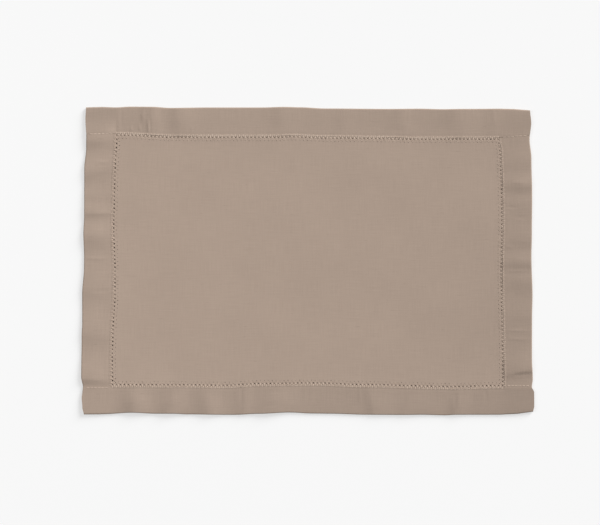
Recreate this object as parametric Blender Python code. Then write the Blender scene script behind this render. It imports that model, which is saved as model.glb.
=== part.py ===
"""A hemstitched table mat of heavy linen, lying flat.

Metres, +Z up. +X runs along the long side and +Y across it. The origin is under the middle of
the mat, on the surface that it lies on.

The mat is one piece of cloth. Its edges are turned up and over as wide hems, the side hems
first, and the top and bottom hems lapped over their ends. So the cloth is one layer thick in
the middle, two in the hems and three in the corners. The hems are a little buckled.
"""

import math
from collections import namedtuple

import bmesh
import bpy

MM = 0.001

# The finished mat, before the waves of its edges.
HALF_LENGTH = 241.0 * MM
HALF_WIDTH = 165.0 * MM
HEM_DEPTH = 31.0 * MM

# Thickness of the middle, of a hem and of a lapped corner, and how far the turned cloth takes to
# step down to the layer below it.
CLOTH = 1.0 * MM
HEM = 2.1 * MM
CORNER = 3.0 * MM
STEP = 1.2 * MM
BRIDGE = 5.0 * MM

# The fold along the outer edge: how far in the cloth starts to turn down, and the heights of its
# widest stretch as shares of the thickness there.
FOLD = 1.6 * MM
FOLD_TOP = 0.62
FOLD_FOOT = 0.3
UNDERCUT = 0.5 * MM

# The largest cell of the mesh, along a hem and from its inner edge to the outer one, and the
# place of the line between its outer edge and the top of the fold, as a share of the fold.
CELL = 4.6 * MM
CELL_ACROSS_HEM = 6.5 * MM
FOLD_LINE = 0.4

# Where an edge or a hem's inner edge leaves its straight line: millimetres along the side from
# its middle, to the right or up, and millimetres outwards.
Wander = namedtuple("Wander", "along out")

OUTER_EDGES = {
    "left": (
        Wander(-165, -0.2), Wander(-158, 1.4), Wander(-146, 2.2), Wander(-136, 0.5),
        Wander(-123, 2.7), Wander(-80, 2.3), Wander(-66, 1.7), Wander(-36, 1.7),
        Wander(-6, -0.4), Wander(4, -0.5), Wander(30, 0.4), Wander(50, -0.4),
        Wander(98, -0.4), Wander(120, -2.5), Wander(135, -2.8), Wander(151, -1.8),
        Wander(165, -2.5),
    ),
    "right": (
        Wander(-165, 1.5), Wander(-158, 2.7), Wander(-140, 2.7), Wander(-133, 0.2),
        Wander(-125, 1.2), Wander(-104, 0.3), Wander(-60, 0.4), Wander(-37, 0.9),
        Wander(4, -0.4), Wander(30, 0.2), Wander(70, 0.5), Wander(110, -0.4),
        Wander(130, -2.3), Wander(149, -0.5), Wander(165, -1.8),
    ),
    "bottom": (
        Wander(-241, 0.0), Wander(-221, 0.0), Wander(-187, -1.7), Wander(-162, -0.7),
        Wander(-144, -0.7), Wander(-128, 0.0), Wander(-79, 0.5), Wander(-53, -0.5),
        Wander(-20, -2.0), Wander(6, -0.9), Wander(24, -0.8), Wander(64, 0.3),
        Wander(114, 0.3), Wander(147, 1.1), Wander(160, 0.5), Wander(203, 0.3),
        Wander(222, -0.6), Wander(241, -2.9),
    ),
    "top": (
        Wander(-241, 0.2), Wander(-221, 0.7), Wander(-209, 0.1), Wander(-193, 1.1),
        Wander(-170, 1.1), Wander(-148, -0.1), Wander(-108, 0.2), Wander(-50, 0.3),
        Wander(-25, 1.0), Wander(20, -1.0), Wander(92, -1.3), Wander(121, -1.0),
        Wander(147, -1.8), Wander(170, -1.3), Wander(216, -1.1), Wander(241, -3.2),
    ),
}

HEM_EDGES = {
    "left": (
        Wander(-132, 1.2), Wander(-106, 1.5), Wander(-74, 0.7), Wander(-36, -1.5),
        Wander(-9, -1.5), Wander(37, -0.1), Wander(68, -0.7), Wander(90, -1.4),
        Wander(133, -3.6),
    ),
    "right": (
        Wander(-130, 2.0), Wander(-85, 1.6), Wander(-36, 0.5), Wander(-9, 0.1),
        Wander(39, 0.8), Wander(76, 0.5), Wander(115, -0.8), Wander(133, -3.0),
    ),
    "bottom": (
        Wander(-209, -0.2), Wander(-130, -0.1), Wander(-89, 0.5), Wander(-49, -1.7),
        Wander(10, -2.5), Wander(56, -0.6), Wander(156, 2.1), Wander(204, 1.0),
    ),
    "top": (
        Wander(-205, 3.8), Wander(-142, 1.1), Wander(-30, 1.1), Wander(-19, 1.9),
        Wander(18, 0.5), Wander(78, -0.1), Wander(110, -1.0), Wander(204, -0.8),
    ),
}

# The buckles of the hems. Each is a low ridge across its hem, in millimetres: where its crest
# meets the hem's inner edge, along the side, how far it leans on its way to the outer edge, how
# high it stands, and how far it reaches to the left or down, and to the right or up.
Buckle = namedtuple("Buckle", "along lean rise before after")

BUCKLES = {
    "left": (
        Buckle(106, 0, 0.9, 6, 9), Buckle(78, -4, 0.7, 8, 7), Buckle(52, 0, 1.0, 7, 6),
        Buckle(26, 0, 1.1, 8, 12), Buckle(-24, -3, 0.9, 9, 14), Buckle(-72, -2, 0.9, 7, 12),
        Buckle(-120, 0, 1.0, 6, 12),
    ),
    "right": (
        Buckle(108, 0, 0.7, 6, 12), Buckle(85, -2, 1.2, 6, 9), Buckle(24, -3, 0.8, 7, 12),
        Buckle(1, 1, 1.1, 5, 8), Buckle(-38, 0, 0.8, 10, 12), Buckle(-112, 3, 1.3, 5, 12),
    ),
    "bottom": (
        Buckle(-184, -2, 1.2, 8, 9), Buckle(-137, -12, 1.2, 9, 10), Buckle(-101, -5, 0.9, 9, 12),
        Buckle(-62, -4, 0.8, 7, 10), Buckle(-21, -18, 1.2, 13, 11), Buckle(59, 5, 1.0, 6, 9),
        Buckle(113, -14, 1.1, 9, 10), Buckle(164, -4, 0.9, 6, 9), Buckle(196, 0, 0.8, 6, 9),
    ),
    "top": (
        Buckle(-170, -2, 0.8, 8, 6), Buckle(-136, 0, 1.0, 8, 12), Buckle(-28, 0, 0.9, 7, 12),
        Buckle(40, 2, 0.6, 9, 12), Buckle(108, -4, 0.7, 9, 8), Buckle(160, -3, 0.8, 9, 12),
        Buckle(203, 0, 0.7, 6, 10),
    ),
}

# A buckle is held down by the stitches and by the next hem's weight at its ends.
HELD_AT_STITCHES = 0.25
FREE_FROM = 9.0 * MM


def smooth_step(value):
    """Ease from 0 to 1 as value goes from 0 to 1."""
    value = min(max(value, 0.0), 1.0)
    return value * value * (3.0 - 2.0 * value)


def read_wander(rows, along):
    """The distance outwards, in metres, at a place along the side, in metres."""
    place = along / MM
    if place <= rows[0].along:
        return rows[0].out * MM
    for low, high in zip(rows, rows[1:]):
        if place <= high.along:
            share = smooth_step((place - low.along) / (high.along - low.along))
            return (low.out + (high.out - low.out) * share) * MM
    return rows[-1].out * MM


def sides_of(x, y):
    """The side nearest in x and the side nearest in y."""
    return ("right" if x > 0 else "left"), ("top" if y > 0 else "bottom")


def moved_out(side, across, along, half_size):
    """How far the cloth at one place has wandered outwards from its straight lines."""
    hem_line = half_size - HEM_DEPTH
    at_hem = read_wander(HEM_EDGES[side], along)
    if across <= hem_line:
        return at_hem * (across / hem_line) ** 2
    at_edge = read_wander(OUTER_EDGES[side], along)
    return at_hem + (at_edge - at_hem) * (across - hem_line) / HEM_DEPTH


def buckled(side, inwards, along, half_side):
    """The height that the buckles of one hem add, from the hem's inner edge outwards."""
    out = HEM_DEPTH - inwards
    if out <= 0.0:
        return 0.0
    height = 0.0
    for row in BUCKLES[side]:
        crest = (row.along + row.lean * out / HEM_DEPTH) * MM
        reach = (row.before if along < crest else row.after) * MM
        height += row.rise * MM * math.exp(-((along - crest) / reach) ** 2)
    free = HELD_AT_STITCHES + (1.0 - HELD_AT_STITCHES) * smooth_step(out / FREE_FROM)
    at_end = smooth_step((half_side - abs(along)) / HEM_DEPTH)
    return height * free * at_end


def height_at(x, y):
    """The height of the mat's upper side at a place on the straight-edged mat."""
    from_side = HALF_LENGTH - abs(x)
    from_end = HALF_WIDTH - abs(y)
    side, end = sides_of(x, y)
    side_hem = smooth_step((HEM_DEPTH - from_side) / STEP)
    end_hem = smooth_step((HEM_DEPTH - from_end) / STEP)
    bridged = smooth_step((HEM_DEPTH - from_side) / BRIDGE)
    single = CLOTH + (HEM - CLOTH) * side_hem
    lapped = HEM + (CORNER - HEM) * bridged
    height = single + (lapped - single) * end_hem
    height += buckled(side, from_side, y, HALF_WIDTH) * (1.0 - end_hem)
    height += buckled(end, from_end, x, HALF_LENGTH)
    turn = smooth_step(min(from_side, from_end) / FOLD)
    return height * (FOLD_TOP + (1.0 - FOLD_TOP) * turn)


def lines_across(half_size):
    """Where the mesh is cut from one outer edge to the other."""
    inner = half_size - HEM_DEPTH
    cells = math.ceil(2.0 * inner / CELL)
    middle = [inner * (2.0 * i / cells - 1.0) for i in range(cells + 1)]
    hem_cells = math.ceil(HEM_DEPTH / CELL_ACROSS_HEM)
    insets = [FOLD_LINE * FOLD, FOLD] + [HEM_DEPTH * i / hem_cells for i in range(1, hem_cells)]
    right = [inner + STEP] + sorted(half_size - inset for inset in insets) + [half_size]
    return [-place for place in reversed(right)] + middle + right


def inside_hems(place):
    """Whether a place is on the single cloth of the flat middle."""
    return abs(place.x) < HALF_LENGTH - HEM_DEPTH and abs(place.y) < HALF_WIDTH - HEM_DEPTH


def make_upper_side():
    """The upper side of the mat, as a grid on its straight lines and then moved to its shape."""
    columns = lines_across(HALF_LENGTH)
    rows = lines_across(HALF_WIDTH)
    mesh = bmesh.new()
    bmesh.ops.create_grid(mesh, x_segments=len(columns) - 1, y_segments=len(rows) - 1, size=0.5)
    for vert in mesh.verts:
        x = columns[round((vert.co.x + 0.5) * (len(columns) - 1))]
        y = rows[round((vert.co.y + 0.5) * (len(rows) - 1))]
        vert.co = (x, y, height_at(x, y))
    middle = [face for face in mesh.faces if inside_hems(face.calc_center_median())]
    bmesh.ops.dissolve_faces(mesh, faces=middle, use_verts=True)
    return mesh


def wander(mesh):
    """Move the straight lines to the uneven ones, in plan."""
    for vert in mesh.verts:
        x, y = vert.co.x, vert.co.y
        side, end = sides_of(x, y)
        vert.co.x += moved_out(side, abs(x), y, HALF_LENGTH) * (1.0 if x > 0 else -1.0)
        vert.co.y += moved_out(end, abs(y), x, HALF_WIDTH) * (1.0 if y > 0 else -1.0)


def close_below(mesh):
    """Fold the outer edge down and under, and close the flat underside."""
    rim = [edge for edge in mesh.edges if edge.is_boundary]
    for share, inset in ((FOLD_FOOT / FOLD_TOP, 0.0), (0.0, UNDERCUT)):
        turned = bmesh.ops.extrude_edge_only(mesh, edges=rim)["geom"]
        verts = [item for item in turned if isinstance(item, bmesh.types.BMVert)]
        rim = [item for item in turned if isinstance(item, bmesh.types.BMEdge)]
        narrower = (1.0 - inset / HALF_LENGTH, 1.0 - inset / HALF_WIDTH, share)
        bmesh.ops.scale(mesh, vec=narrower, verts=verts)
    bmesh.ops.contextual_create(mesh, geom=rim)
    bmesh.ops.recalc_face_normals(mesh, faces=mesh.faces)


def centre(mesh):
    """Put the middle of the mat's box over the origin."""
    xs = [vert.co.x for vert in mesh.verts]
    ys = [vert.co.y for vert in mesh.verts]
    shift = (-0.5 * (min(xs) + max(xs)), -0.5 * (min(ys) + max(ys)), 0.0)
    bmesh.ops.translate(mesh, vec=shift, verts=mesh.verts)


def linen():
    """The taupe linen."""
    material = bpy.data.materials.new("taupe_linen")
    material.use_nodes = True
    shader = material.node_tree.nodes["Principled BSDF"]
    shader.inputs["Base Color"].default_value = (0.40, 0.31, 0.245, 1.0)
    shader.inputs["Roughness"].default_value = 0.9
    shader.inputs["Metallic"].default_value = 0.0
    return material


def make_mat(collection):
    """The whole mat as one object."""
    mesh = make_upper_side()
    wander(mesh)
    close_below(mesh)
    centre(mesh)
    data = bpy.data.meshes.new("placemat_cloth")
    mesh.to_mesh(data)
    mesh.free()
    data.materials.append(linen())
    collection.objects.link(bpy.data.objects.new("placemat_cloth", data))


def main():
    for old in list(bpy.data.objects):
        bpy.data.objects.remove(old)
    collection = bpy.data.collections.new("placemat")
    bpy.context.scene.collection.children.link(collection)
    make_mat(collection)


main()
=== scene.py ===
"""The looks of a hemstitched table mat of heavy linen, lying flat on a pale floor.

Object coordinates are metres, +Z up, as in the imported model. The cloth and its thread are worked
out in millimetres and brought to metres at the end.
"""

import math
import random
from collections import namedtuple

import bmesh
import bpy
from mathutils import Matrix, Vector, kdtree


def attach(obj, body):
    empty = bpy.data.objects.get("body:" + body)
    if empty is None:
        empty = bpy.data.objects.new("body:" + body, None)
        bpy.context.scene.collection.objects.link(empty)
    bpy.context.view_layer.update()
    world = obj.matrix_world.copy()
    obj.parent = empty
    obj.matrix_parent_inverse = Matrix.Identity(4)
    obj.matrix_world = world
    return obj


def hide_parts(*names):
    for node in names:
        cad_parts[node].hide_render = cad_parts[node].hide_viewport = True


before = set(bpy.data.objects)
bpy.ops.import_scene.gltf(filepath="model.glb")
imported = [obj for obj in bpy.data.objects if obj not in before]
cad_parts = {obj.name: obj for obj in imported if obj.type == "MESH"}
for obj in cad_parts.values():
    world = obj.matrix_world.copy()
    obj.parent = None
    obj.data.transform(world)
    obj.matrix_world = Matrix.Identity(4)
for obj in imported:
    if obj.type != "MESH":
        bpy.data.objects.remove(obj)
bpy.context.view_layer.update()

MM = 0.001

# The finished mat before the waves of its edges, in millimetres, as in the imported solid.
HALF_LENGTH = 241.0
HALF_WIDTH = 165.0
HEM_DEPTH = 31.0
HEM_LINE_X = HALF_LENGTH - HEM_DEPTH
HEM_LINE_Y = HALF_WIDTH - HEM_DEPTH
CLOTH = 1.0

# How tightly the cloth turns at its outer edges, along its middle. The top and bottom hems rise
# from here on to clear the side hems that they lap over, by a hair.
FOLD_RADIUS = 0.55
CLIMB_FROM = 200.0
LAP_CLEAR = 0.03

# Where the side folds start, where the cloth is cut, and where the side hems end under the lap.
SIDE_FOLD = HALF_LENGTH - FOLD_RADIUS - 0.5 * CLOTH
SIDE_CUT = SIDE_FOLD + math.pi * FOLD_RADIUS + (SIDE_FOLD - HEM_LINE_X)
END_FOLD = HALF_WIDTH - FOLD_RADIUS - 0.5 * CLOTH
END_CUT = END_FOLD + math.pi * FOLD_RADIUS + (END_FOLD - HEM_LINE_Y)
SLIT_FROM = 163.2
SLIT_TO = 163.3
LAP_SIDE = SIDE_FOLD + 0.5 * math.pi * FOLD_RADIUS

# The rows of hemstitch holes, and how many pitches there are along each side.
HOLE_LINE_X = 208.0
HOLE_LINE_Y = 131.8
PITCHES_ALONG = 99
PITCHES_ACROSS = 63
PITCH = 2.0 * HOLE_LINE_X / PITCHES_ALONG

# The holes and the finer pricks beside them: radius on the upper side and on the underside, and
# the segments of the bevel that opens them.
HOLE_RADIUS = 0.7
HOLE_FOOT = 0.05
HOLE_SEGMENTS = 2
PRICK_RADIUS = 0.42
PRICK_FOOT = 0.06
PRICK_SEGMENTS = 1

# A point of the mesh belongs to a hole up to this many radii from its middle. Two points less
# than the second distance apart, in millimetres, are the same place, and a point less than the
# third from a cut is on it.
HOLE_WITHIN = 1.45
SAME_PLACE = 0.01
ON_CUT = 0.001

# Steps of the mesh: in a pitch of the holes, from the holes in to the pricks, along a cell of the
# coarser middle, and from the holes in to that middle.
STEPS_A_PITCH = 4
PRICK_STEPS = 3
MIDDLE_CELL = 3 * STEPS_A_PITCH
MIDDLE_MARGIN = STEPS_A_PITCH

# Lines of the mesh, in millimetres: below the hems outside the holes, and from a hem's inner edge
# outwards on its upper layer.
BELOW_HEM = (1.05, 2.1, 16.0)
ON_HEM = (0.0, 0.3, 0.9, 1.5, 2.1, 2.8, 3.8, 5.5, 8.0, 10.5, 13.5, 16.5, 20.0, 24.0)

# Steps of the mesh round a side fold, with a line this far beside it, and round an end fold, from
# the slit up to here on the flat sheet.
FOLD_STEPS = 6
BESIDE_FOLD = 0.4
LAP_FOLD_TO = 166.9
LAP_FOLD_STEPS = 10

# The pressed inner edge of a hem: the share of the cloth's thickness that is left at the edge
# itself, what its rounding adds and how far in that ends, and how far the press reaches.
EDGE_LEFT = 0.1
EDGE_ROUNDED = 0.1
EDGE_ROUNDING = 2.0
EDGE_PRESSED = 31.0

# The groove that the stitches draw beside the edge. Between the holes it is shallower by twice
# this share of its depth.
GROOVE_AT = 2.1
GROOVE_WIDTH = 0.9
GROOVE_DEPTH = 0.18
GROOVE_UNEVEN = 0.3

# The low lip of the single cloth on the inner side of the holes: where its crest is, how high
# it stands, and how far it reaches towards the holes and away from them.
LIP_AT = 1.4
LIP_RISE = 0.04
LIP_STEEP = 0.9
LIP_GENTLE = 2.6

# A wave over the mat: its radians for each millimetre to the right and up, and where it starts.
Wave = namedtuple("Wave", "by_x by_y start")

# The slow waves of the single cloth are the product of two, with this height in millimetres.
SLOW_WAVES = (Wave(0.031, 0.013, 0.6), Wave(-0.011, 0.043, 1.9))
SLOW_WAVE_HEIGHT = 0.12

# The puckers along the stitches are a quick wave that drifts and a slower one, in radians for
# each millimetre. Then how high they stand, and how far from the holes they reach.
QUICK_PUCKER = 0.71
DRIFT = 0.19
DRIFT_BY = 2.0
SLOW_PUCKER = 0.37
SLOW_PUCKER_START = 1.1
PUCKER_HEIGHT = 0.05
PUCKER_REACH = 3.5

# The holes are wider and narrower than usual by up to this share, one after the other.
HOLE_UNEVEN = 0.2
HOLE_WAVE = Wave(1.9, 2.7, 0.0)

# Where an edge or a hem's inner edge leaves its straight line: millimetres along the side from
# its middle, to the right or up, and millimetres outwards.
Wander = namedtuple("Wander", "along out")

OUTER_EDGES = {
    "left": (
        Wander(-165, -0.6), Wander(-158, 1.0), Wander(-146, 1.8), Wander(-136, 0.2),
        Wander(-123, 2.2), Wander(-80, 1.7), Wander(-66, 1.1), Wander(-36, 1.2),
        Wander(-6, -0.8), Wander(4, -0.9), Wander(30, -0.2), Wander(50, -1.0),
        Wander(98, -1.1), Wander(120, -3.1), Wander(135, -3.3), Wander(151, -2.2),
        Wander(165, -2.9),
    ),
    "right": (
        Wander(-165, 1.6), Wander(-158, 2.8), Wander(-140, 2.8), Wander(-133, 0.3),
        Wander(-125, 1.2), Wander(-104, 0.3), Wander(-60, 0.4), Wander(-37, 0.9),
        Wander(4, -0.3), Wander(30, 0.2), Wander(70, 0.5), Wander(110, -0.3),
        Wander(130, -2.2), Wander(149, -0.4), Wander(165, -1.7),
    ),
    "bottom": (
        Wander(-241, -0.5), Wander(-221, -0.6), Wander(-187, -2.4), Wander(-162, -1.3),
        Wander(-144, -1.3), Wander(-128, -0.6), Wander(-79, -0.1), Wander(-53, -1.2),
        Wander(-20, -2.6), Wander(6, -1.5), Wander(24, -1.3), Wander(64, -0.2),
        Wander(104, 0.0), Wander(122, -0.2), Wander(147, 0.4), Wander(160, -0.2),
        Wander(203, -0.2), Wander(222, -1.1), Wander(241, -3.4),
    ),
    "top": (
        Wander(-241, 0.6), Wander(-221, 1.1), Wander(-209, 0.6), Wander(-193, 1.4),
        Wander(-170, 1.2), Wander(-148, 0.0), Wander(-108, 0.5), Wander(-50, 0.5),
        Wander(-25, 1.1), Wander(-8, 0.7), Wander(20, -0.6), Wander(92, -1.1),
        Wander(121, -0.8), Wander(147, -1.4), Wander(170, -1.1), Wander(216, -0.8),
        Wander(241, -2.5),
    ),
}

HEM_EDGES = {
    "left": (
        Wander(-132, 1.6), Wander(-106, 1.9), Wander(-74, 1.1), Wander(-36, -1.1),
        Wander(-9, -1.1), Wander(37, 0.3), Wander(68, -0.3), Wander(90, -1.0),
        Wander(133, -3.2),
    ),
    "right": (
        Wander(-130, 1.7), Wander(-85, 1.3), Wander(-36, 0.2), Wander(-9, -0.2),
        Wander(39, 0.5), Wander(76, 0.2), Wander(115, -1.1), Wander(133, -3.3),
    ),
    "bottom": (
        Wander(-209, 0.7), Wander(-130, 0.9), Wander(-89, 1.4), Wander(-49, -0.6),
        Wander(10, -1.2), Wander(56, 0.5), Wander(156, 2.8), Wander(204, 1.8),
    ),
    "top": (
        Wander(-240, 2.8), Wander(-212, 3.8), Wander(-205, 3.8), Wander(-142, 1.1),
        Wander(-30, 1.1), Wander(-19, 1.9), Wander(18, 0.5), Wander(78, -0.1),
        Wander(110, -1.0), Wander(204, -0.8), Wander(238, 1.3),
    ),
}

# The buckles of the hems. Each is a low ridge across its hem, in millimetres: where its crest
# meets the hem's inner edge, along the side, how far it leans on its way to the outer edge, how
# high it stands, and how far it reaches to the left or down, and to the right or up.
Buckle = namedtuple("Buckle", "along lean rise before after")

BUCKLES = {
    "left": (
        Buckle(129, 0, 1.6, 8.6, 20), Buckle(100, -5, 1.1, 8.6, 12), Buckle(70, 0, 0.5, 6, 8),
        Buckle(53, 0, 1.2, 6.7, 11), Buckle(28, 0, 1.55, 12, 14), Buckle(-28, -1, 1.0, 11, 26),
        Buckle(-76, -1, 1.2, 11.4, 22), Buckle(-126.5, 2, 1.4, 5.7, 20),
    ),
    "right": (
        Buckle(107, 0, 0.5, 9.5, 12), Buckle(83, -1, 1.2, 8.0, 10), Buckle(61, 0, 0.6, 16, 10),
        Buckle(24, -2, 0.6, 8.6, 15), Buckle(-1, 0, 1.3, 7.6, 10), Buckle(-20.5, 0, 0.9, 11.4, 10),
        Buckle(-57.5, 0, 0.35, 8, 14), Buckle(-119, 5, 1.6, 5.7, 16),
    ),
    "bottom": (
        Buckle(-184, 0, 2.0, 11.4, 14), Buckle(-138, -10, 1.9, 11.4, 12),
        Buckle(-108, 3, 1.4, 11.4, 12), Buckle(-66, -2, 0.7, 7.6, 8), Buckle(-23, -17, 2.0, 17, 17),
        Buckle(67, 6, 0.9, 7.6, 20), Buckle(116, -11, 0.9, 9.5, 20), Buckle(162.5, -4, 1.0, 6.7, 10),
    ),
    "top": (
        Buckle(-167, -2, 0.9, 11.4, 8), Buckle(-139, 0, 1.2, 9.5, 15), Buckle(-28, 0, 0.7, 9.5, 14),
        Buckle(38, 0, 0.3, 8, 12), Buckle(103, 0, 0.6, 13, 10), Buckle(163.5, 0, 0.9, 13, 15),
        Buckle(203, 0, 0.5, 9, 10),
    ),
}

# Painted shade: how much darker than the single cloth each hem is painted, as a share of the
# finish's hem tone. It stands for the light that the single cloth lets through from below, and for
# how each side is lit. The shade starts this far inside a hem's inner edge, and is full as far
# outside it.
HEM_PAINTED_SHADES = {"left": 1.3, "right": 1.0, "bottom": 2.4, "top": 0.5}
SHADE_FROM = 0.5

# More painted shade: how much darker again the end hems are painted where they lap over a side hem,
# and how far inside the lap that starts.
LAP_PAINTED_SHADES = {
    "left": {"top": 1.6, "bottom": -0.7},
    "right": {"top": 0.4, "bottom": 0.4},
}
LAP_PAINTED_SHADE_FADES = 6.0

# How wide the holes of each row are drawn open, and how strongly painted shade darkens their walls.
# With a shade above 1, a hole is at its darkest before its foot.
HOLES_OPEN = {"left": 1.15, "right": 1.0, "bottom": 1.05, "top": 1.0}
HOLE_PAINTED_SHADES = {"left": 4.0, "right": 1.2, "bottom": 2.2, "top": 0.7}

# The share of its height that a buckle has at the stitches, how far out it is free of them, and
# the share of it that the layer below takes.
HELD_AT_STITCHES = 0.45
FREE_FROM = 20.0
LOWER_LAYER_SHARE = 0.6

# Small creases of the hems' upper layer, in millimetres: the middle of each, the way that it
# runs in degrees from the long side, its length, its width and its height, below 0 for a trough.
# It ends at this many of its widths and lengths from its middle.
Crease = namedtuple("Crease", "x y run length width rise")
CREASE_WIDTHS = 3.0
CREASE_LENGTHS = 1.5

CREASES = {
    "left": (
        Crease(-220, 107, 0, 12, 1.6, 0.18),
        Crease(-220, 51.5, 2, 24, 1.8, 0.21), Crease(-227, 3, 0, 22, 1.7, 0.21),
        Crease(-223, -31.5, 3, 18, 2.0, -0.18), Crease(-214, -161, 0, 8, 1.6, 0.18),
    ),
    "right": (
        Crease(227, 84.5, 0, 14, 1.6, 0.18), Crease(218, 58.4, 0, 12, 1.2, -0.18),
        Crease(214, 54.3, 0, 7, 1.2, -0.15), Crease(229, 47.7, 0, 12, 1.6, -0.12),
        Crease(217, 15.5, 0, 8, 2.0, 0.18), Crease(225, -10.5, 0, 24, 1.4, 0.18),
        Crease(226, -74.5, 0, 20, 1.4, 0.18), Crease(226, -83.5, 0, 20, 1.4, 0.18),
        Crease(232, -121.3, 9, 18, 1.5, -0.4),
    ),
    "bottom": (
        Crease(55.8, -143, 90, 14, 1.1, 0.18), Crease(-71, -145, 90, 26, 1.5, -0.18),
        Crease(159, -149.5, 90, 16, 1.7, -0.18), Crease(191.8, -142.5, 90, 8, 1.4, -0.15),
        Crease(-32.9, -139, 20, 5, 1.2, -0.15),
    ),
    "top": (
        Crease(-176.7, 156, 67, 8, 1.1, 0.6), Crease(-171, 144.5, 90, 12, 1.2, 0.55),
        Crease(-189.2, 142.3, 80, 5, 1.1, 0.35), Crease(-180.4, 143.3, 80, 5, 1.1, 0.35),
        Crease(-200, 152, 90, 18, 1.3, -0.12), Crease(-167, 147, 90, 16, 1.5, 0.15),
        Crease(-124.5, 142.2, 80, 4, 1.1, 0.2), Crease(110, 150.8, 2, 16, 1.8, -0.24),
        Crease(180, 156, 0, 8, 2.0, 0.18), Crease(200.4, 156, 90, 12, 1.3, 0.18),
        Crease(209.6, 141, 90, 12, 1.3, 0.15),
    ),
}


def smooth_step(value):
    """Ease from 0 to 1 as value goes from 0 to 1."""
    value = min(max(value, 0.0), 1.0)
    return value * value * (3.0 - 2.0 * value)


def read_wander(rows, along):
    """The distance outwards at a place along the side."""
    if along <= rows[0].along:
        return rows[0].out
    for low, high in zip(rows, rows[1:]):
        if along <= high.along:
            share = smooth_step((along - low.along) / (high.along - low.along))
            return low.out + (high.out - low.out) * share
    return rows[-1].out


def sides_of(x, y):
    """The side nearest in x and the side nearest in y."""
    return ("right" if x > 0 else "left"), ("top" if y > 0 else "bottom")


def moved_out(side, across, along, half_size):
    """How far the cloth at one place has wandered outwards from its straight lines."""
    hem_line = half_size - HEM_DEPTH
    at_hem = read_wander(HEM_EDGES[side], along)
    if across <= hem_line:
        return at_hem * (across / hem_line) ** 2
    at_edge = read_wander(OUTER_EDGES[side], along)
    return at_hem + (at_edge - at_hem) * (across - hem_line) / HEM_DEPTH


def wandered(x, y):
    """A place of the straight-edged mat, moved as the real edges wander."""
    side, end = sides_of(x, y)
    out_x = moved_out(side, abs(x), y, HALF_LENGTH)
    out_y = moved_out(end, abs(y), x, HALF_WIDTH)
    return x + math.copysign(1.0, x) * out_x, y + math.copysign(1.0, y) * out_y


def buckled(side, inwards, along, half_side):
    """The height that the buckles of one hem add, from the hem's inner edge outwards."""
    out = HEM_DEPTH - inwards
    if out <= 0.0:
        return 0.0
    height = 0.0
    for row in BUCKLES[side]:
        crest = row.along + row.lean * out / HEM_DEPTH
        reach = row.before if along < crest else row.after
        height += row.rise * math.exp(-((along - crest) / reach) ** 2)
    free = HELD_AT_STITCHES + (1.0 - HELD_AT_STITCHES) * smooth_step(out / FREE_FROM)
    at_end = smooth_step((half_side - abs(along)) / HEM_DEPTH)
    return height * free * at_end


def creased(side, x, y):
    """The height that the small creases of one hem add."""
    height = 0.0
    for row in CREASES[side]:
        run = math.radians(row.run)
        along = (x - row.x) * math.cos(run) + (y - row.y) * math.sin(run)
        across = (y - row.y) * math.cos(run) - (x - row.x) * math.sin(run)
        if abs(across) < CREASE_WIDTHS * row.width and abs(along) < CREASE_LENGTHS * row.length:
            fade = (2.0 * along / row.length) ** 4
            height += row.rise * math.exp(-(across / row.width) ** 2 - fade)
    return height


def grooved(x, y):
    """The depth of the groove that the stitches draw along a hem's inner edge."""
    out_x = abs(x) - HEM_LINE_X
    out_y = abs(y) - HEM_LINE_Y
    if out_x > 0.0 and out_y > 0.0:
        return 0.0
    out, along, hole_line = (out_x, y, HOLE_LINE_Y) if out_x > out_y else (out_y, x, HOLE_LINE_X)
    between = 1.0 - math.cos(2.0 * math.pi * (along + hole_line) / PITCH)
    drawn = 1.0 - GROOVE_UNEVEN * between
    return GROOVE_DEPTH * drawn * math.exp(-((out - GROOVE_AT) / GROOVE_WIDTH) ** 2)


def wave_at(wave, x, y):
    """A wave's height at a place, from -1 to 1."""
    return math.sin(wave.by_x * x + wave.by_y * y + wave.start)


def puckered(x, y):
    """The slight waves of the single cloth, stronger beside the stitches."""
    slow = SLOW_WAVE_HEIGHT * (1.0 + math.prod(wave_at(wave, x, y) for wave in SLOW_WAVES))
    inside_x = HOLE_LINE_X - abs(x)
    inside_y = HOLE_LINE_Y - abs(y)
    inside = min(inside_x, inside_y)
    reach = LIP_STEEP if inside < LIP_AT else LIP_GENTLE
    lip = LIP_RISE * math.exp(-((inside - LIP_AT) / reach) ** 2)
    along = y if inside_x < inside_y else x
    quick = 1.0 + math.sin(QUICK_PUCKER * along + DRIFT_BY * math.sin(DRIFT * along))
    slower = 1.0 + math.sin(SLOW_PUCKER * along + SLOW_PUCKER_START)
    puckers = PUCKER_HEIGHT * (quick + slower) * math.exp(-(inside / PUCKER_REACH) ** 2)
    return slow + lip + puckers


def lift(x, y, z, place):
    """How far the buckles, creases and puckers raise a point of the folded cloth.

    The place is where the point ends up, seen from above.
    """
    from_side = HALF_LENGTH - abs(x)
    from_end = HALF_WIDTH - abs(y)
    side, end = sides_of(x, y)
    buckles = buckled(side, from_side, y, HALF_WIDTH) + buckled(end, from_end, x, HALF_LENGTH)
    on_top = smooth_step((z - 0.5 * CLOTH) / CLOTH)
    share = LOWER_LAYER_SHARE + (1.0 - LOWER_LAYER_SHARE) * on_top
    raised = buckles * share
    if from_side < HEM_DEPTH or from_end < HEM_DEPTH:
        creases = creased(end if from_end < HEM_DEPTH else side, *place)
        raised += on_top * (creases - grooved(x, y))
    return raised + puckered(x, y)


def turned(place, depth, start, radius, stretch):
    """Fold a point of the flat sheet over: its distance from the mat's middle, and its height."""
    past = place - start
    if past <= 0.0:
        return place, depth
    from_axis = radius + 0.5 * CLOTH - depth
    angle = past / radius
    if angle < math.pi:
        height = 0.5 * CLOTH + radius - from_axis * math.cos(angle)
        return start + from_axis * math.sin(angle), height
    return start - (past - math.pi * radius) * stretch, CLOTH + 2.0 * radius - depth


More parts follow.
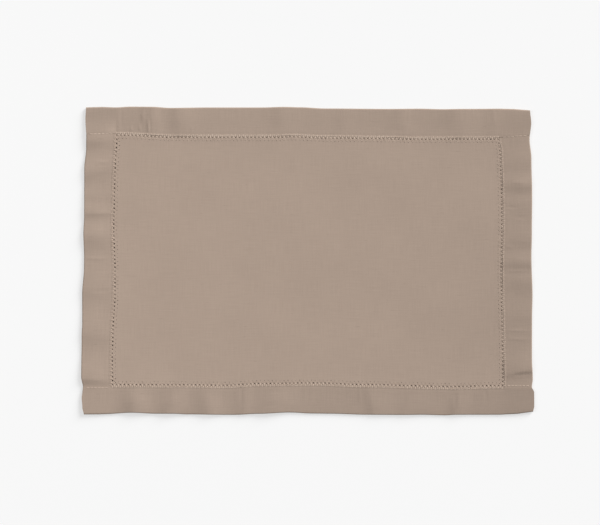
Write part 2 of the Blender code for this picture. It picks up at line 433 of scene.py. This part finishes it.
def edge_share(inwards):
    """The share of the cloth's thickness that is left near a hem's pressed edge."""
    rounded = EDGE_ROUNDED * smooth_step(inwards / EDGE_ROUNDING)
    pressed = (1.0 - EDGE_LEFT - EDGE_ROUNDED) * smooth_step(inwards / EDGE_PRESSED)
    return EDGE_LEFT + rounded + pressed


def thinned(from_cut, depth):
    """The depth of a point in the cloth, where the hem's pressed edge is thinner."""
    return CLOTH - (CLOTH - depth) * edge_share(from_cut)


def climbed(x):
    """How much higher the upper layer of an end hem lies, to clear the side hem below it."""
    before = smooth_step((abs(x) - CLIMB_FROM) / (HEM_LINE_X - CLIMB_FROM))
    side_hem = edge_share(max(abs(x) - HEM_LINE_X, 0.0)) * CLOTH
    return (side_hem + LAP_CLEAR) * before


def folded(u, v, depth):
    """Where a point of the flat sheet lies once the hems are turned, on the straight-edged mat."""
    if abs(v) > SLIT_FROM:
        radius = FOLD_RADIUS + 0.5 * climbed(u)
        start = HALF_WIDTH - radius - 0.5 * CLOTH
        stretch = (start - HEM_LINE_Y) / (END_CUT - start - math.pi * radius)
        depth = thinned(END_CUT - abs(v), depth)
        across, height = turned(abs(v), depth, start, radius, stretch)
        return u, math.copysign(across, v), height
    if abs(u) > SIDE_FOLD:
        depth = thinned(SIDE_CUT - abs(u), depth)
        across, height = turned(abs(u), depth, SIDE_FOLD, FOLD_RADIUS, 1.0)
        return math.copysign(across, u), v, height
    return u, v, depth


def settled(x, y, z):
    """A point of the straight-edged mat, raised by its creases and moved as its edges wander."""
    place = wandered(x, y)
    return Vector((*place, z + lift(x, y, z, place)))


def stations(hole_line, pitches, outside):
    """Where the flat sheet is divided, from one cut edge to the other."""
    steps = STEPS_A_PITCH * pitches
    middle = [hole_line * (2.0 * i / steps - 1.0) for i in range(steps + 1)]
    return [-place for place in reversed(outside)] + middle + list(outside)


def side_lines():
    """The divisions outside the holes of the left and right side."""
    below = [HOLE_LINE_X + step for step in BELOW_HEM] + [SIDE_FOLD - BESIDE_FOLD]
    turn = math.pi * FOLD_RADIUS
    fold = [SIDE_FOLD + turn * i / FOLD_STEPS for i in range(FOLD_STEPS + 1)]
    above = [SIDE_FOLD + turn + BESIDE_FOLD] + [SIDE_CUT - step for step in reversed(ON_HEM)]
    return below + fold + above


def end_lines():
    """The divisions outside the holes of the top and bottom side."""
    below = [HOLE_LINE_Y + step for step in BELOW_HEM] + [SLIT_FROM]
    turn = LAP_FOLD_TO - SLIT_TO
    fold = [SLIT_TO + turn * i / LAP_FOLD_STEPS for i in range(LAP_FOLD_STEPS + 1)]
    return below + fold + [END_CUT - step for step in reversed(ON_HEM)]


def cut_away(place):
    """Whether a place of the grid is in a corner that is cut from the flat sheet."""
    if abs(place.y) < SLIT_FROM:
        return False
    return abs(place.x) > (SIDE_FOLD if abs(place.y) < SLIT_TO else LAP_SIDE)


def row_places(half, pitches, start):
    """Places along a row of holes, a pitch apart, from a share of a pitch in from its end."""
    count = pitches + 1 if start == 0.0 else pitches
    return [half * (2.0 * (i + start) / pitches - 1.0) for i in range(count)]


def centres(line_x, line_y, start):
    """The middles of the holes or pricks in the four rows of the flat sheet."""
    places = set()
    for x in row_places(HOLE_LINE_X, PITCHES_ALONG, start):
        places.update((round(x, 4), round(y, 4)) for y in (-line_y, line_y))
    for y in row_places(HOLE_LINE_Y, PITCHES_ACROSS, start):
        places.update((round(x, 4), round(y, 4)) for x in (-line_x, line_x))
    return sorted(places)


def hole_centres():
    """The middles of the holes on the flat sheet."""
    return centres(HOLE_LINE_X, HOLE_LINE_Y, 0.0)


def prick_centres():
    """The middles of the pricks, half a pitch along from the holes and inside them."""
    line_x = HOLE_LINE_X * (1.0 - 2.0 * PRICK_STEPS / (PITCHES_ALONG * STEPS_A_PITCH))
    line_y = HOLE_LINE_Y * (1.0 - 2.0 * PRICK_STEPS / (PITCHES_ACROSS * STEPS_A_PITCH))
    return centres(line_x, line_y, 0.5)


def row_of(place):
    """The side whose row of holes is nearest to a place inside the hems."""
    side, end = sides_of(place.x, place.y)
    return end if HOLE_LINE_Y - abs(place.y) < HOLE_LINE_X - abs(place.x) else side


def tree_of(places):
    """A search tree of places on the flat sheet."""
    tree = kdtree.KDTree(len(places))
    for index, (x, y) in enumerate(places):
        tree.insert((x, y, 0.0), index)
    tree.balance()
    return tree


def punch(mesh, places, radius, segments):
    """Open a hole at each of these points of the grid."""
    tree = tree_of(places)
    middles = [vert for vert in mesh.verts if tree.find(vert.co)[2] < SAME_PLACE]
    opened = bmesh.ops.bevel(
        mesh, geom=middles, offset=radius, affect="VERTICES", segments=segments,
        profile=0.5, material=-1,
    )
    for vert in {vert for face in opened["faces"] for vert in face.verts}:
        middle = tree.find(vert.co)[0]
        offset = vert.co - middle
        if offset.length > SAME_PLACE:
            uneven = 1.0 + HOLE_UNEVEN * wave_at(HOLE_WAVE, middle.x, middle.y)
            opened_to = radius * HOLES_OPEN[row_of(middle)] * uneven
            vert.co = middle + offset.normalized() * opened_to
    bmesh.ops.delete(mesh, geom=opened["faces"], context="FACES")


def in_middle(place, margin):
    """Whether a place is inside the rows of holes by more than a margin."""
    return abs(place.x) < HOLE_LINE_X - margin and abs(place.y) < HOLE_LINE_Y - margin


def coarsen_middle(mesh):
    """Merge the fine grid inside the stitches and divide it again into larger cells."""
    margin = HOLE_LINE_X * 2.0 * MIDDLE_MARGIN / (PITCHES_ALONG * STEPS_A_PITCH)
    fine = [face for face in mesh.faces if in_middle(face.calc_center_median(), margin)]
    faces = bmesh.ops.dissolve_faces(mesh, faces=fine, use_verts=True)["region"]
    for axis, half, pitches in ((0, HOLE_LINE_X, PITCHES_ALONG), (1, HOLE_LINE_Y, PITCHES_ACROSS)):
        steps = STEPS_A_PITCH * pitches
        for i in range(MIDDLE_CELL, steps, MIDDLE_CELL):
            point = Vector((0.0, 0.0, 0.0))
            normal = Vector((0.0, 0.0, 0.0))
            point[axis] = half * (2.0 * i / steps - 1.0)
            normal[axis] = 1.0
            edges = {edge for face in faces for edge in face.edges}
            verts = {vert for face in faces for vert in face.verts}
            cut = bmesh.ops.bisect_plane(
                mesh, geom=list(faces) + list(edges) + list(verts), dist=ON_CUT,
                plane_co=point, plane_no=normal,
            )
            faces = [item for item in cut["geom"] if isinstance(item, bmesh.types.BMFace)]


def make_flat_sheet():
    """The cut cloth, lying flat, with its holes and its thickness, in millimetres."""
    columns = stations(HOLE_LINE_X, PITCHES_ALONG, side_lines())
    rows = stations(HOLE_LINE_Y, PITCHES_ACROSS, end_lines())
    mesh = bmesh.new()
    across = len(columns) - 1
    up = len(rows) - 1
    bmesh.ops.create_grid(mesh, x_segments=across, y_segments=up, size=0.5)
    for vert in mesh.verts:
        column = round((vert.co.x + 0.5) * across)
        row = round((vert.co.y + 0.5) * up)
        vert.co = (columns[column], rows[row], 0.0)
    corners = [face for face in mesh.faces if cut_away(face.calc_center_median())]
    bmesh.ops.delete(mesh, geom=corners, context="FACES")
    coarsen_middle(mesh)
    punch(mesh, hole_centres(), HOLE_RADIUS, HOLE_SEGMENTS)
    punch(mesh, prick_centres(), PRICK_RADIUS, PRICK_SEGMENTS)
    bmesh.ops.solidify(mesh, geom=mesh.faces, thickness=CLOTH)
    lowest = min(vert.co.z for vert in mesh.verts)
    bmesh.ops.translate(mesh, vec=(0.0, 0.0, -lowest), verts=mesh.verts)
    return mesh


def lay_out(mesh):
    """Give every point its place on the flat sheet, in metres from the sheet's corner."""
    sheet = mesh.loops.layers.uv.new("sheet")
    for face in mesh.faces:
        for loop in face.loops:
            loop[sheet].uv = ((loop.vert.co.x + SIDE_CUT) * MM, (loop.vert.co.y + END_CUT) * MM)


def paint_hem_shade(mesh):
    """Paint shade on the hems: a darker colour that stands for the light the single cloth lets
    through from below, set for each side, with more on the laps.
    """
    painted_hem_shade = mesh.verts.layers.float.new("painted_hem_shade")
    for vert in mesh.verts:
        out_x = abs(vert.co.x) - HEM_LINE_X
        out_y = abs(vert.co.y) - HEM_LINE_Y
        side, end = sides_of(vert.co.x, vert.co.y)
        shade = HEM_PAINTED_SHADES[end if out_y > 0.0 else side]
        if out_y > 0.0:
            shade += LAP_PAINTED_SHADES[side][end] * smooth_step(1.0 + out_x / LAP_PAINTED_SHADE_FADES)
        vert[painted_hem_shade] = shade * smooth_step(0.5 * (max(out_x, out_y) / SHADE_FROM + 1.0))


def narrow_holes(mesh):
    """Draw the holes in below, and mark how deep in a hole each point is, for the painted shade
    inside the holes.
    """
    shade = mesh.verts.layers.float.new("painted_hole_shade")
    kinds = (
        (tree_of(hole_centres()), HOLE_RADIUS, HOLE_FOOT),
        (tree_of(prick_centres()), PRICK_RADIUS, PRICK_FOOT),
    )
    for vert in mesh.verts:
        for tree, radius, foot in kinds:
            middle, _, far = tree.find((vert.co.x, vert.co.y, 0.0))
            if far < HOLE_WITHIN * radius:
                below = 1.0 - vert.co.z / CLOTH
                share = 1.0 + (foot / radius - 1.0) * below
                vert.co.x = middle.x + (vert.co.x - middle.x) * share
                vert.co.y = middle.y + (vert.co.y - middle.y) * share
                vert[shade] = below * HOLE_PAINTED_SHADES[row_of(vert.co)]


def middle_of(mesh):
    """The middle of the cloth's box, seen from above."""
    xs = [vert.co.x for vert in mesh.verts]
    ys = [vert.co.y for vert in mesh.verts]
    return Vector((0.5 * (min(xs) + max(xs)), 0.5 * (min(ys) + max(ys)), 0.0))


# Faces that meet at a greater angle than this keep a sharp edge between them.
SHARP_FROM = math.radians(50.0)


def finish_piece(mesh, name, shift, material):
    """Bring a piece to metres, in its place, as an object with its material."""
    bmesh.ops.translate(mesh, vec=-shift, verts=mesh.verts)
    bmesh.ops.scale(mesh, vec=(MM, MM, MM), verts=mesh.verts)
    data = bpy.data.meshes.new(name)
    mesh.to_mesh(data)
    mesh.free()
    data.polygons.foreach_set("use_smooth", [True] * len(data.polygons))
    data.set_sharp_from_angle(angle=SHARP_FROM)
    data.materials.append(material)
    piece = bpy.data.objects.new(name, data)
    bpy.context.scene.collection.objects.link(piece)
    return piece


def make_cloth(material):
    """The cloth with its turned hems, and where its middle was before it was centred."""
    mesh = make_flat_sheet()
    lay_out(mesh)
    paint_hem_shade(mesh)
    narrow_holes(mesh)
    for vert in mesh.verts:
        vert.co = settled(*folded(*vert.co))
    bmesh.ops.recalc_face_normals(mesh, faces=mesh.faces)
    shift = middle_of(mesh)
    return finish_piece(mesh, "placemat_linen", shift, material), shift


# The hemstitching, in millimetres from the row of holes, outwards onto the hem: where a strand
# starts and ends, along the row and across it, its width and its thickness.
Strand = namedtuple("Strand", "from_along from_out to_along to_out width rise")

AT_EACH_HOLE = Strand(0.0, 0.75, 0.15, 3.7, 0.9, 0.4)
BETWEEN_HOLES = (
    Strand(0.5 * PITCH, -0.6, 0.5 * PITCH, 2.0, 1.2, 0.4),
    Strand(0.3, 2.4, PITCH - 0.3, 2.5, 0.7, 0.4),
)
INSIDE_HOLES = (
    Strand(0.3, -0.8, 0.5 * PITCH - 0.3, -2.6, 0.3, 0.2),
    Strand(PITCH - 0.3, -0.8, 0.5 * PITCH + 0.3, -2.6, 0.3, 0.2),
)
LAP_STITCH = Strand(0.1, -0.05, PITCH - 0.1, 0.05, 0.9, 0.4)

# How uneven the stitches are, in millimetres and as a share of their width.
SEED = 11
UNEVEN = 0.12

# How high a strand lies on the cloth, as a share of its thickness, and how far inside a hem's
# edge the strands start to climb onto it.
SUNK = 0.2
BESIDE_EDGE = 0.5

# A strand is a round bead, drawn out. These are its sides and its rings.
STRAND_SIDES = 6
STRAND_RINGS = 5

# The slip stitches of the laps: along which side's hem, towards its right end (1) or its left one
# (-1), how far outside the hem's edge, and how full the thread lies.
Lap = namedtuple("Lap", "side turn outside full")

LAPS_THAT_SHOW = (
    Lap("top", -1.0, -0.1, 0.8), Lap("top", 1.0, -0.3, 0.7),
    Lap("bottom", -1.0, 0.9, 0.6), Lap("bottom", 1.0, -2.2, 0.8),
)
LAP_STITCHES = 6
LAP_STITCHES_FROM = 212.5

# Each row's pitches, half its length, and how full its thread lies: on the hem's side of the
# holes and between them, and inside them.
Row = namedtuple("Row", "pitches half full inner")

ROWS = {
    "left": Row(PITCHES_ACROSS, HOLE_LINE_Y, 0.5, 0.5),
    "right": Row(PITCHES_ACROSS, HOLE_LINE_Y, 0.7, 0.75),
    "bottom": Row(PITCHES_ALONG, HOLE_LINE_X, 0.85, 0.35),
    "top": Row(PITCHES_ALONG, HOLE_LINE_X, 1.15, 0.8),
}


def beside_row(side, along, out):
    """A place beside one side's row of holes, on the straight-edged mat."""
    if side in ("left", "right"):
        x = HOLE_LINE_X + out
        return (x if side == "right" else -x), along
    y = HOLE_LINE_Y + out
    return along, (y if side == "top" else -y)


def on_cloth(x, y):
    """The point of the mat's upper side above a place on the straight-edged mat."""
    out_x = abs(x) - HEM_LINE_X
    out_y = abs(y) - HEM_LINE_Y
    on_hem = 2.0 * FOLD_RADIUS + CLOTH * edge_share(out_y if out_y > 0.0 else out_x)
    on_hem += climbed(x) if out_y > 0.0 else 0.0
    height = CLOTH + (on_hem - CLOTH) * smooth_step((max(out_x, out_y) + BESIDE_EDGE) / BESIDE_EDGE)
    return settled(x, y, height)


def place_of(side, along, strand, full, draw):
    """The matrix that brings a round bead of thread to the shape and place of a strand."""
    jitter = [draw.uniform(-UNEVEN, UNEVEN) for _ in range(5)]
    from_along = along + strand.from_along + jitter[0]
    to_along = along + strand.to_along + jitter[1]
    start = on_cloth(*beside_row(side, from_along, strand.from_out + jitter[2]))
    end = on_cloth(*beside_row(side, to_along, strand.to_out + jitter[3]))
    run = end - start
    turn = run.to_track_quat("Z", "Y").to_matrix().to_4x4()
    width = strand.width * full * (1.0 + jitter[4])
    size = (width, strand.rise, run.length, 1.0)
    above = Vector((0.0, 0.0, SUNK * strand.rise))
    return Matrix.Translation(0.5 * (start + end) + above) @ turn @ Matrix.Diagonal(size)


def strands_of(side, draw):
    """The places of all strands beside one row of holes."""
    row = ROWS[side]
    for i in range(row.pitches + 1):
        along = row.half * (2.0 * i / row.pitches - 1.0)
        yield place_of(side, along, AT_EACH_HOLE, row.full, draw)
        if i < row.pitches:
            for strand in BETWEEN_HOLES:
                yield place_of(side, along, strand, row.full, draw)
            for strand in INSIDE_HOLES:
                yield place_of(side, along, strand, row.inner, draw)


def lap_stitches(draw):
    """The places of the slip stitches that close the laps at the corners."""
    for lap in LAPS_THAT_SHOW:
        edge = HEM_LINE_Y - HOLE_LINE_Y + lap.outside
        strand = LAP_STITCH._replace(
            from_out=edge + LAP_STITCH.from_out, to_along=lap.turn * LAP_STITCH.to_along,
            to_out=edge + LAP_STITCH.to_out,
        )
        for i in range(LAP_STITCHES):
            along = lap.turn * (LAP_STITCHES_FROM + PITCH * i)
            yield place_of(lap.side, along, strand, lap.full, draw)


def make_thread(material, shift):
    """The thread of the hemstitching, wound between the holes and over the hems' inner edge."""
    draw = random.Random(SEED)
    mesh = bmesh.new()
    one_strand = bpy.data.meshes.new("one_strand")
    places = [place for side in ROWS for place in strands_of(side, draw)]
    for place in places + list(lap_stitches(draw)):
        strand = bmesh.new()
        bmesh.ops.create_uvsphere(
            strand, u_segments=STRAND_SIDES, v_segments=STRAND_RINGS, radius=0.5, matrix=place,
        )
        strand.to_mesh(one_strand)
        strand.free()
        mesh.from_mesh(one_strand)
    bpy.data.meshes.remove(one_strand)
    bmesh.ops.recalc_face_normals(mesh, faces=mesh.faces)
    return finish_piece(mesh, "hemstitch_thread", shift, material)


class Value:
    """An output of a node. Python's operators on it add Math nodes."""

    def __init__(self, finish, socket):
        self.finish = finish
        self.socket = socket

    def maths(self, operation, *others, clamped=False):
        """What a Math node makes of this value and others."""
        settings = {"operation": operation, "use_clamp": clamped}
        return self.finish.node("ShaderNodeMath", settings, dict(enumerate((self,) + others)))

    def __add__(self, other):
        return self.maths("ADD", other)

    def __sub__(self, other):
        return self.maths("SUBTRACT", other)

    def __mul__(self, other):
        return self.maths("MULTIPLY", other)

    def __pow__(self, other):
        return self.maths("POWER", other)

    def __rsub__(self, other):
        return self * -1.0 + other

    def __abs__(self):
        return self.maths("ABSOLUTE")

    __radd__ = __add__
    __rmul__ = __mul__

    def sine(self):
        """The sine of this value, in radians."""
        return self.maths("SINE")

    def clamped(self):
        """This value, kept from 0 to 1."""
        return self.maths("ADD", 0.0, clamped=True)


class Finish:
    """A material whose nodes are added one expression at a time."""

    def __init__(self, name):
        self.material = bpy.data.materials.new(name)
        self.material.use_nodes = True
        self.tree = self.material.node_tree
        self.shader = self.tree.nodes["Principled BSDF"]

    def plug(self, socket, value):
        """Link a value to a socket, or set the socket to it."""
        if isinstance(value, Value):
            self.tree.links.new(value.socket, socket)
        else:
            socket.default_value = value

    def node(self, kind, settings=None, sockets=None, output=0):
        """Add a node with its settings, then the values or links of its sockets."""
        node = self.tree.nodes.new(kind)
        for name, value in (settings or {}).items():
            setattr(node, name, value)
        for name, value in (sockets or {}).items():
            self.plug(node.inputs[name], value)
        return Value(self, node.outputs[output])

    def mixed(self, share, low, high):
        """A colour between two, by a share from 0 to 1."""
        return self.node("ShaderNodeMix", {"data_type": "RGBA"}, {0: share, 6: low, 7: high}, 2)

    def noise(self, place, scale=1.0):
        """Noise from 0 to 1 at a place."""
        return self.node("ShaderNodeTexNoise", None, {"Vector": place, "Scale": scale})

    def attribute(self, name):
        """A number that the mesh carries."""
        return self.node("ShaderNodeAttribute", {"attribute_name": name}, None, 2)

    def bump(self, height, depth):
        """Give the surface a fine relief, this many millimetres deep."""
        sockets = {"Strength": RELIEF_STRENGTH, "Distance": depth * MM, "Height": height}
        self.plug(self.shader.inputs["Normal"], self.node("ShaderNodeBump", None, sockets))

    def vector(self, x, y):
        """A place on a plane from its two numbers."""
        return self.node("ShaderNodeCombineXYZ", None, {"X": x, "Y": y})


LINEN_DARK = (0.296, 0.228, 0.183, 1.0)
LINEN_LIGHT = (0.473, 0.365, 0.292, 1.0)
# Painted shade: the dark colour inside the holes.
HOLE_PAINTED_SHADE = (0.060, 0.042, 0.030, 1.0)
THREAD_DARK = (0.46, 0.36, 0.29, 1.0)
THREAD_LIGHT = (0.66, 0.53, 0.43, 1.0)

# The weave: the width of a yarn in millimetres, how sharply one passes over the other, the power
# that flattens its crown, and its mean height.
YARN = 0.8
PASSES_OVER = 2.5
CROWN_POWER = 0.4
WEAVE_MEAN = 0.6

# The noise of the slubs, for each millimetre across a yarn and along it, that of the knots, and
# that of the clouds. The shifts keep the patterns apart.
SLUB_ACROSS = 1.1
SLUB_ALONG = 0.045
WEFT_SHIFT = 40.0
KNOT_ALONG = 0.1
KNOT_ACROSS = 0.8
KNOT_SHIFT = 7.0
CLOUD_SCALE = 0.02

# The noise above which there is a knot, and how steeply it rises there.
KNOT_FROM = 0.66
KNOT_STEEP = 7.0

# What each of them adds to the tone, which is 0 for the dark colour and 1 for the light one. The
# weave's part is painted shade, lighter on the yarns' crowns and darker between them; the hems' part
# is painted shade too.
MIDDLE_TONE = 0.5
WEAVE_SHADE_TONE = 0.3
SLUB_TONE = 0.28
CLOUD_TONE = 0.2
KNOT_TONE = -0.3
HEM_SHADE_TONE = -0.1

# The relief: its strength, the shares of the weave and of the slubs, and its depth.
RELIEF_STRENGTH = 0.4
WEAVE_RELIEF = 0.7
SLUB_RELIEF = 0.5
LINEN_RELIEF = 0.08
THREAD_RELIEF = 0.1

# How rough the linen is between its yarns, and how much smoother on them.
LINEN_ROUGHNESS = 0.92
CROWN_SMOOTHER = 0.08

# The flecks and fibres of the thread, for each metre.
THREAD_FLECKS = 900.0
THREAD_FIBRES = 4000.0

# Painted shade: the cloth is painted a little darker in its lower right part, as the light falls off
# there: from this far along the sheet, and up to this far across it, in millimetres, and how far it
# takes to fade.
PAINTED_SHADE_FROM = 370.0
PAINTED_SHADE_TO = 245.0
PAINTED_SHADE_FADES = 60.0
PAINTED_SHADE_TONE = -0.06


def linen():
    """Heavy plain-weave linen in taupe, with thicker and thinner yarns both ways."""
    finish = Finish("taupe_linen_weave")
    sheet = finish.node("ShaderNodeUVMap", {"uv_map": "sheet"})
    parts = finish.node("ShaderNodeSeparateXYZ", None, {0: sheet}).socket.node
    u = Value(finish, parts.outputs["X"]) * (1.0 / MM)
    v = Value(finish, parts.outputs["Y"]) * (1.0 / MM)

    # The plain weave: warp yarns run up the sheet and weft yarns along it, over and under.
    across = (u * (math.pi / YARN)).sine()
    along = (v * (math.pi / YARN)).sine()
    warp_over = (across * along * PASSES_OVER + 0.5).clamped()
    warp_crown = abs(across) * (abs(along) ** CROWN_POWER)
    weft_crown = abs(along) * (abs(across) ** CROWN_POWER)
    weave = weft_crown + (warp_crown - weft_crown) * warp_over

    # Slubs: streaks along the yarns, and a soft cloudiness of the whole cloth.
    warp_slubs = finish.noise(finish.vector(u * SLUB_ACROSS, v * SLUB_ALONG))
    weft_slubs = finish.noise(finish.vector(u * SLUB_ALONG + WEFT_SHIFT, v * SLUB_ACROSS))
    slubs = warp_slubs + weft_slubs
    knots = finish.noise(finish.vector(u * KNOT_ALONG + KNOT_SHIFT, v * KNOT_ACROSS))
    knots = ((knots - KNOT_FROM) * KNOT_STEEP).clamped()
    clouds = finish.noise(finish.vector(u, v), CLOUD_SCALE)
    streaks = (slubs - 1.0) * SLUB_TONE + (clouds - 0.5) * CLOUD_TONE + knots * KNOT_TONE

    # Painted shade: the hems, and the lower right part, are painted darker.
    to_right = ((u - PAINTED_SHADE_FROM) * (1.0 / PAINTED_SHADE_FADES)).clamped()
    to_front = ((PAINTED_SHADE_TO - v) * (1.0 / PAINTED_SHADE_FADES)).clamped()
    painted_shades = finish.attribute("painted_hem_shade") * HEM_SHADE_TONE + to_right * to_front * PAINTED_SHADE_TONE
    # The weave's tone is painted shade: lighter crowns, darker hollows between the yarns.
    tone = (streaks + MIDDLE_TONE + (weave - WEAVE_MEAN) * WEAVE_SHADE_TONE + painted_shades).clamped()
    colour = finish.mixed(tone, LINEN_DARK, LINEN_LIGHT)
    # Painted shade inside the holes, darkest towards their feet.
    painted_hole_shade = finish.mixed(finish.attribute("painted_hole_shade"), colour, HOLE_PAINTED_SHADE)
    finish.plug(finish.shader.inputs["Base Color"], painted_hole_shade)

    finish.bump(weave * WEAVE_RELIEF + slubs * SLUB_RELIEF, LINEN_RELIEF)
    finish.plug(finish.shader.inputs["Roughness"], LINEN_ROUGHNESS - weave * CROWN_SMOOTHER)
    finish.shader.inputs["Specular IOR Level"].default_value = 0.25
    finish.shader.inputs["Sheen Weight"].default_value = 0.12
    finish.shader.inputs["Sheen Roughness"].default_value = 0.5
    return finish.material


def sewing_thread():
    """Twisted linen thread, a little lighter than the cloth."""
    finish = Finish("hemstitch_thread")
    place = finish.node("ShaderNodeTexCoord", None, None, 3)
    tone = finish.noise(place, THREAD_FLECKS)
    finish.plug(finish.shader.inputs["Base Color"], finish.mixed(tone, THREAD_DARK, THREAD_LIGHT))
    finish.bump(finish.noise(place, THREAD_FIBRES), THREAD_RELIEF)
    finish.shader.inputs["Roughness"].default_value = 0.75
    finish.shader.inputs["Specular IOR Level"].default_value = 0.3
    finish.shader.inputs["Sheen Weight"].default_value = 0.15
    return finish.material


# The floor: its half size, how far below the mat it lies, its colour, and its own light. That
# evens out what the lamps give it, from this far left to as far right.
FLOOR_REACH = 40.0
FLOOR_CLEAR = 0.0001
FLOOR_GREY = (0.4, 0.4, 0.4, 1.0)
FLOOR_GLOW = 0.541
GLOW_REACH = 0.4
GLOW_LEFT = (0.915, 0.915, 0.915, 1.0)
GLOW_RIGHT = (1.0, 1.0, 1.0, 1.0)


def pale_floor():
    """The plain pale surface below the mat."""
    mesh = bmesh.new()
    bmesh.ops.create_grid(mesh, x_segments=1, y_segments=1, size=FLOOR_REACH)
    bmesh.ops.translate(mesh, vec=(0.0, 0.0, -FLOOR_CLEAR), verts=mesh.verts)
    data = bpy.data.meshes.new("pale_floor")
    mesh.to_mesh(data)
    mesh.free()
    finish = Finish("pale_floor")
    finish.shader.inputs["Base Color"].default_value = FLOOR_GREY
    place = finish.node("ShaderNodeTexCoord", None, None, 3)
    to_right = finish.node("ShaderNodeSeparateXYZ", None, {0: place}) * (0.5 / GLOW_REACH) + 0.5
    glow = finish.mixed(to_right.clamped(), GLOW_LEFT, GLOW_RIGHT)
    finish.plug(finish.shader.inputs["Emission Color"], glow)
    finish.shader.inputs["Emission Strength"].default_value = FLOOR_GLOW
    finish.shader.inputs["Roughness"].default_value = 1.0
    finish.shader.inputs["Specular IOR Level"].default_value = 0.0
    data.materials.append(finish.material)
    floor = bpy.data.objects.new("pale_floor", data)
    bpy.context.scene.collection.objects.link(floor)


# The camera looks straight down, from a little to the left of the mat's middle and below it.
CAMERA_AT = (-0.00835, -0.00169, 3.0)
LENS = 167.4

# A broad low key from the upper right, a weaker lamp on the left, and an even fill.
KEY_HEIGHT = math.radians(22.0)
KEY_TURN = math.radians(45.0)
KEY_SPREAD = math.radians(30.0)
KEY_STRENGTH = 4.36
SIDE_LAMP_AT = (-1.5, 0.2, 1.6)
SIDE_LAMP_SIZE = 1.0
SIDE_LAMP_POWER = 12.0
FILL = 0.36


def make_lamp(name, kind, strength, towards):
    """A lamp that shines from one direction, or from one place, on the middle of the mat."""
    lamp = bpy.data.lights.new(name, kind)
    lamp.energy = strength
    holder = bpy.data.objects.new(name, lamp)
    holder.location = towards
    holder.rotation_euler = (-Vector(towards)).to_track_quat("-Z", "Y").to_euler()
    bpy.context.scene.collection.objects.link(holder)
    return lamp


def camera_and_light():
    """The camera over the mat, and the soft studio light."""
    camera = bpy.data.objects.new("camera", bpy.data.cameras.new("camera"))
    camera.data.lens = LENS
    camera.location = CAMERA_AT
    bpy.context.scene.collection.objects.link(camera)
    bpy.context.scene.camera = camera

    flat = math.cos(KEY_HEIGHT)
    towards = (flat * math.cos(KEY_TURN), flat * math.sin(KEY_TURN), math.sin(KEY_HEIGHT))
    make_lamp("low_key", "SUN", KEY_STRENGTH, towards).angle = KEY_SPREAD
    make_lamp("left_lamp", "AREA", SIDE_LAMP_POWER, SIDE_LAMP_AT).size = SIDE_LAMP_SIZE

    world = bpy.data.worlds.new("even_fill")
    world.use_nodes = True
    background = world.node_tree.nodes["Background"]
    background.inputs["Color"].default_value = (1.0, 1.0, 1.0, 1.0)
    background.inputs["Strength"].default_value = FILL
    bpy.context.scene.world = world
    bpy.context.scene.view_settings.view_transform = "Standard"


def main():
    """Build the mat, its floor, camera and light."""
    cloth, shift = make_cloth(linen())
    thread = make_thread(sewing_thread(), shift)
    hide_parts("placemat_cloth")
    for piece in (cloth, thread):
        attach(piece, "root")
    pale_floor()
    camera_and_light()


main()
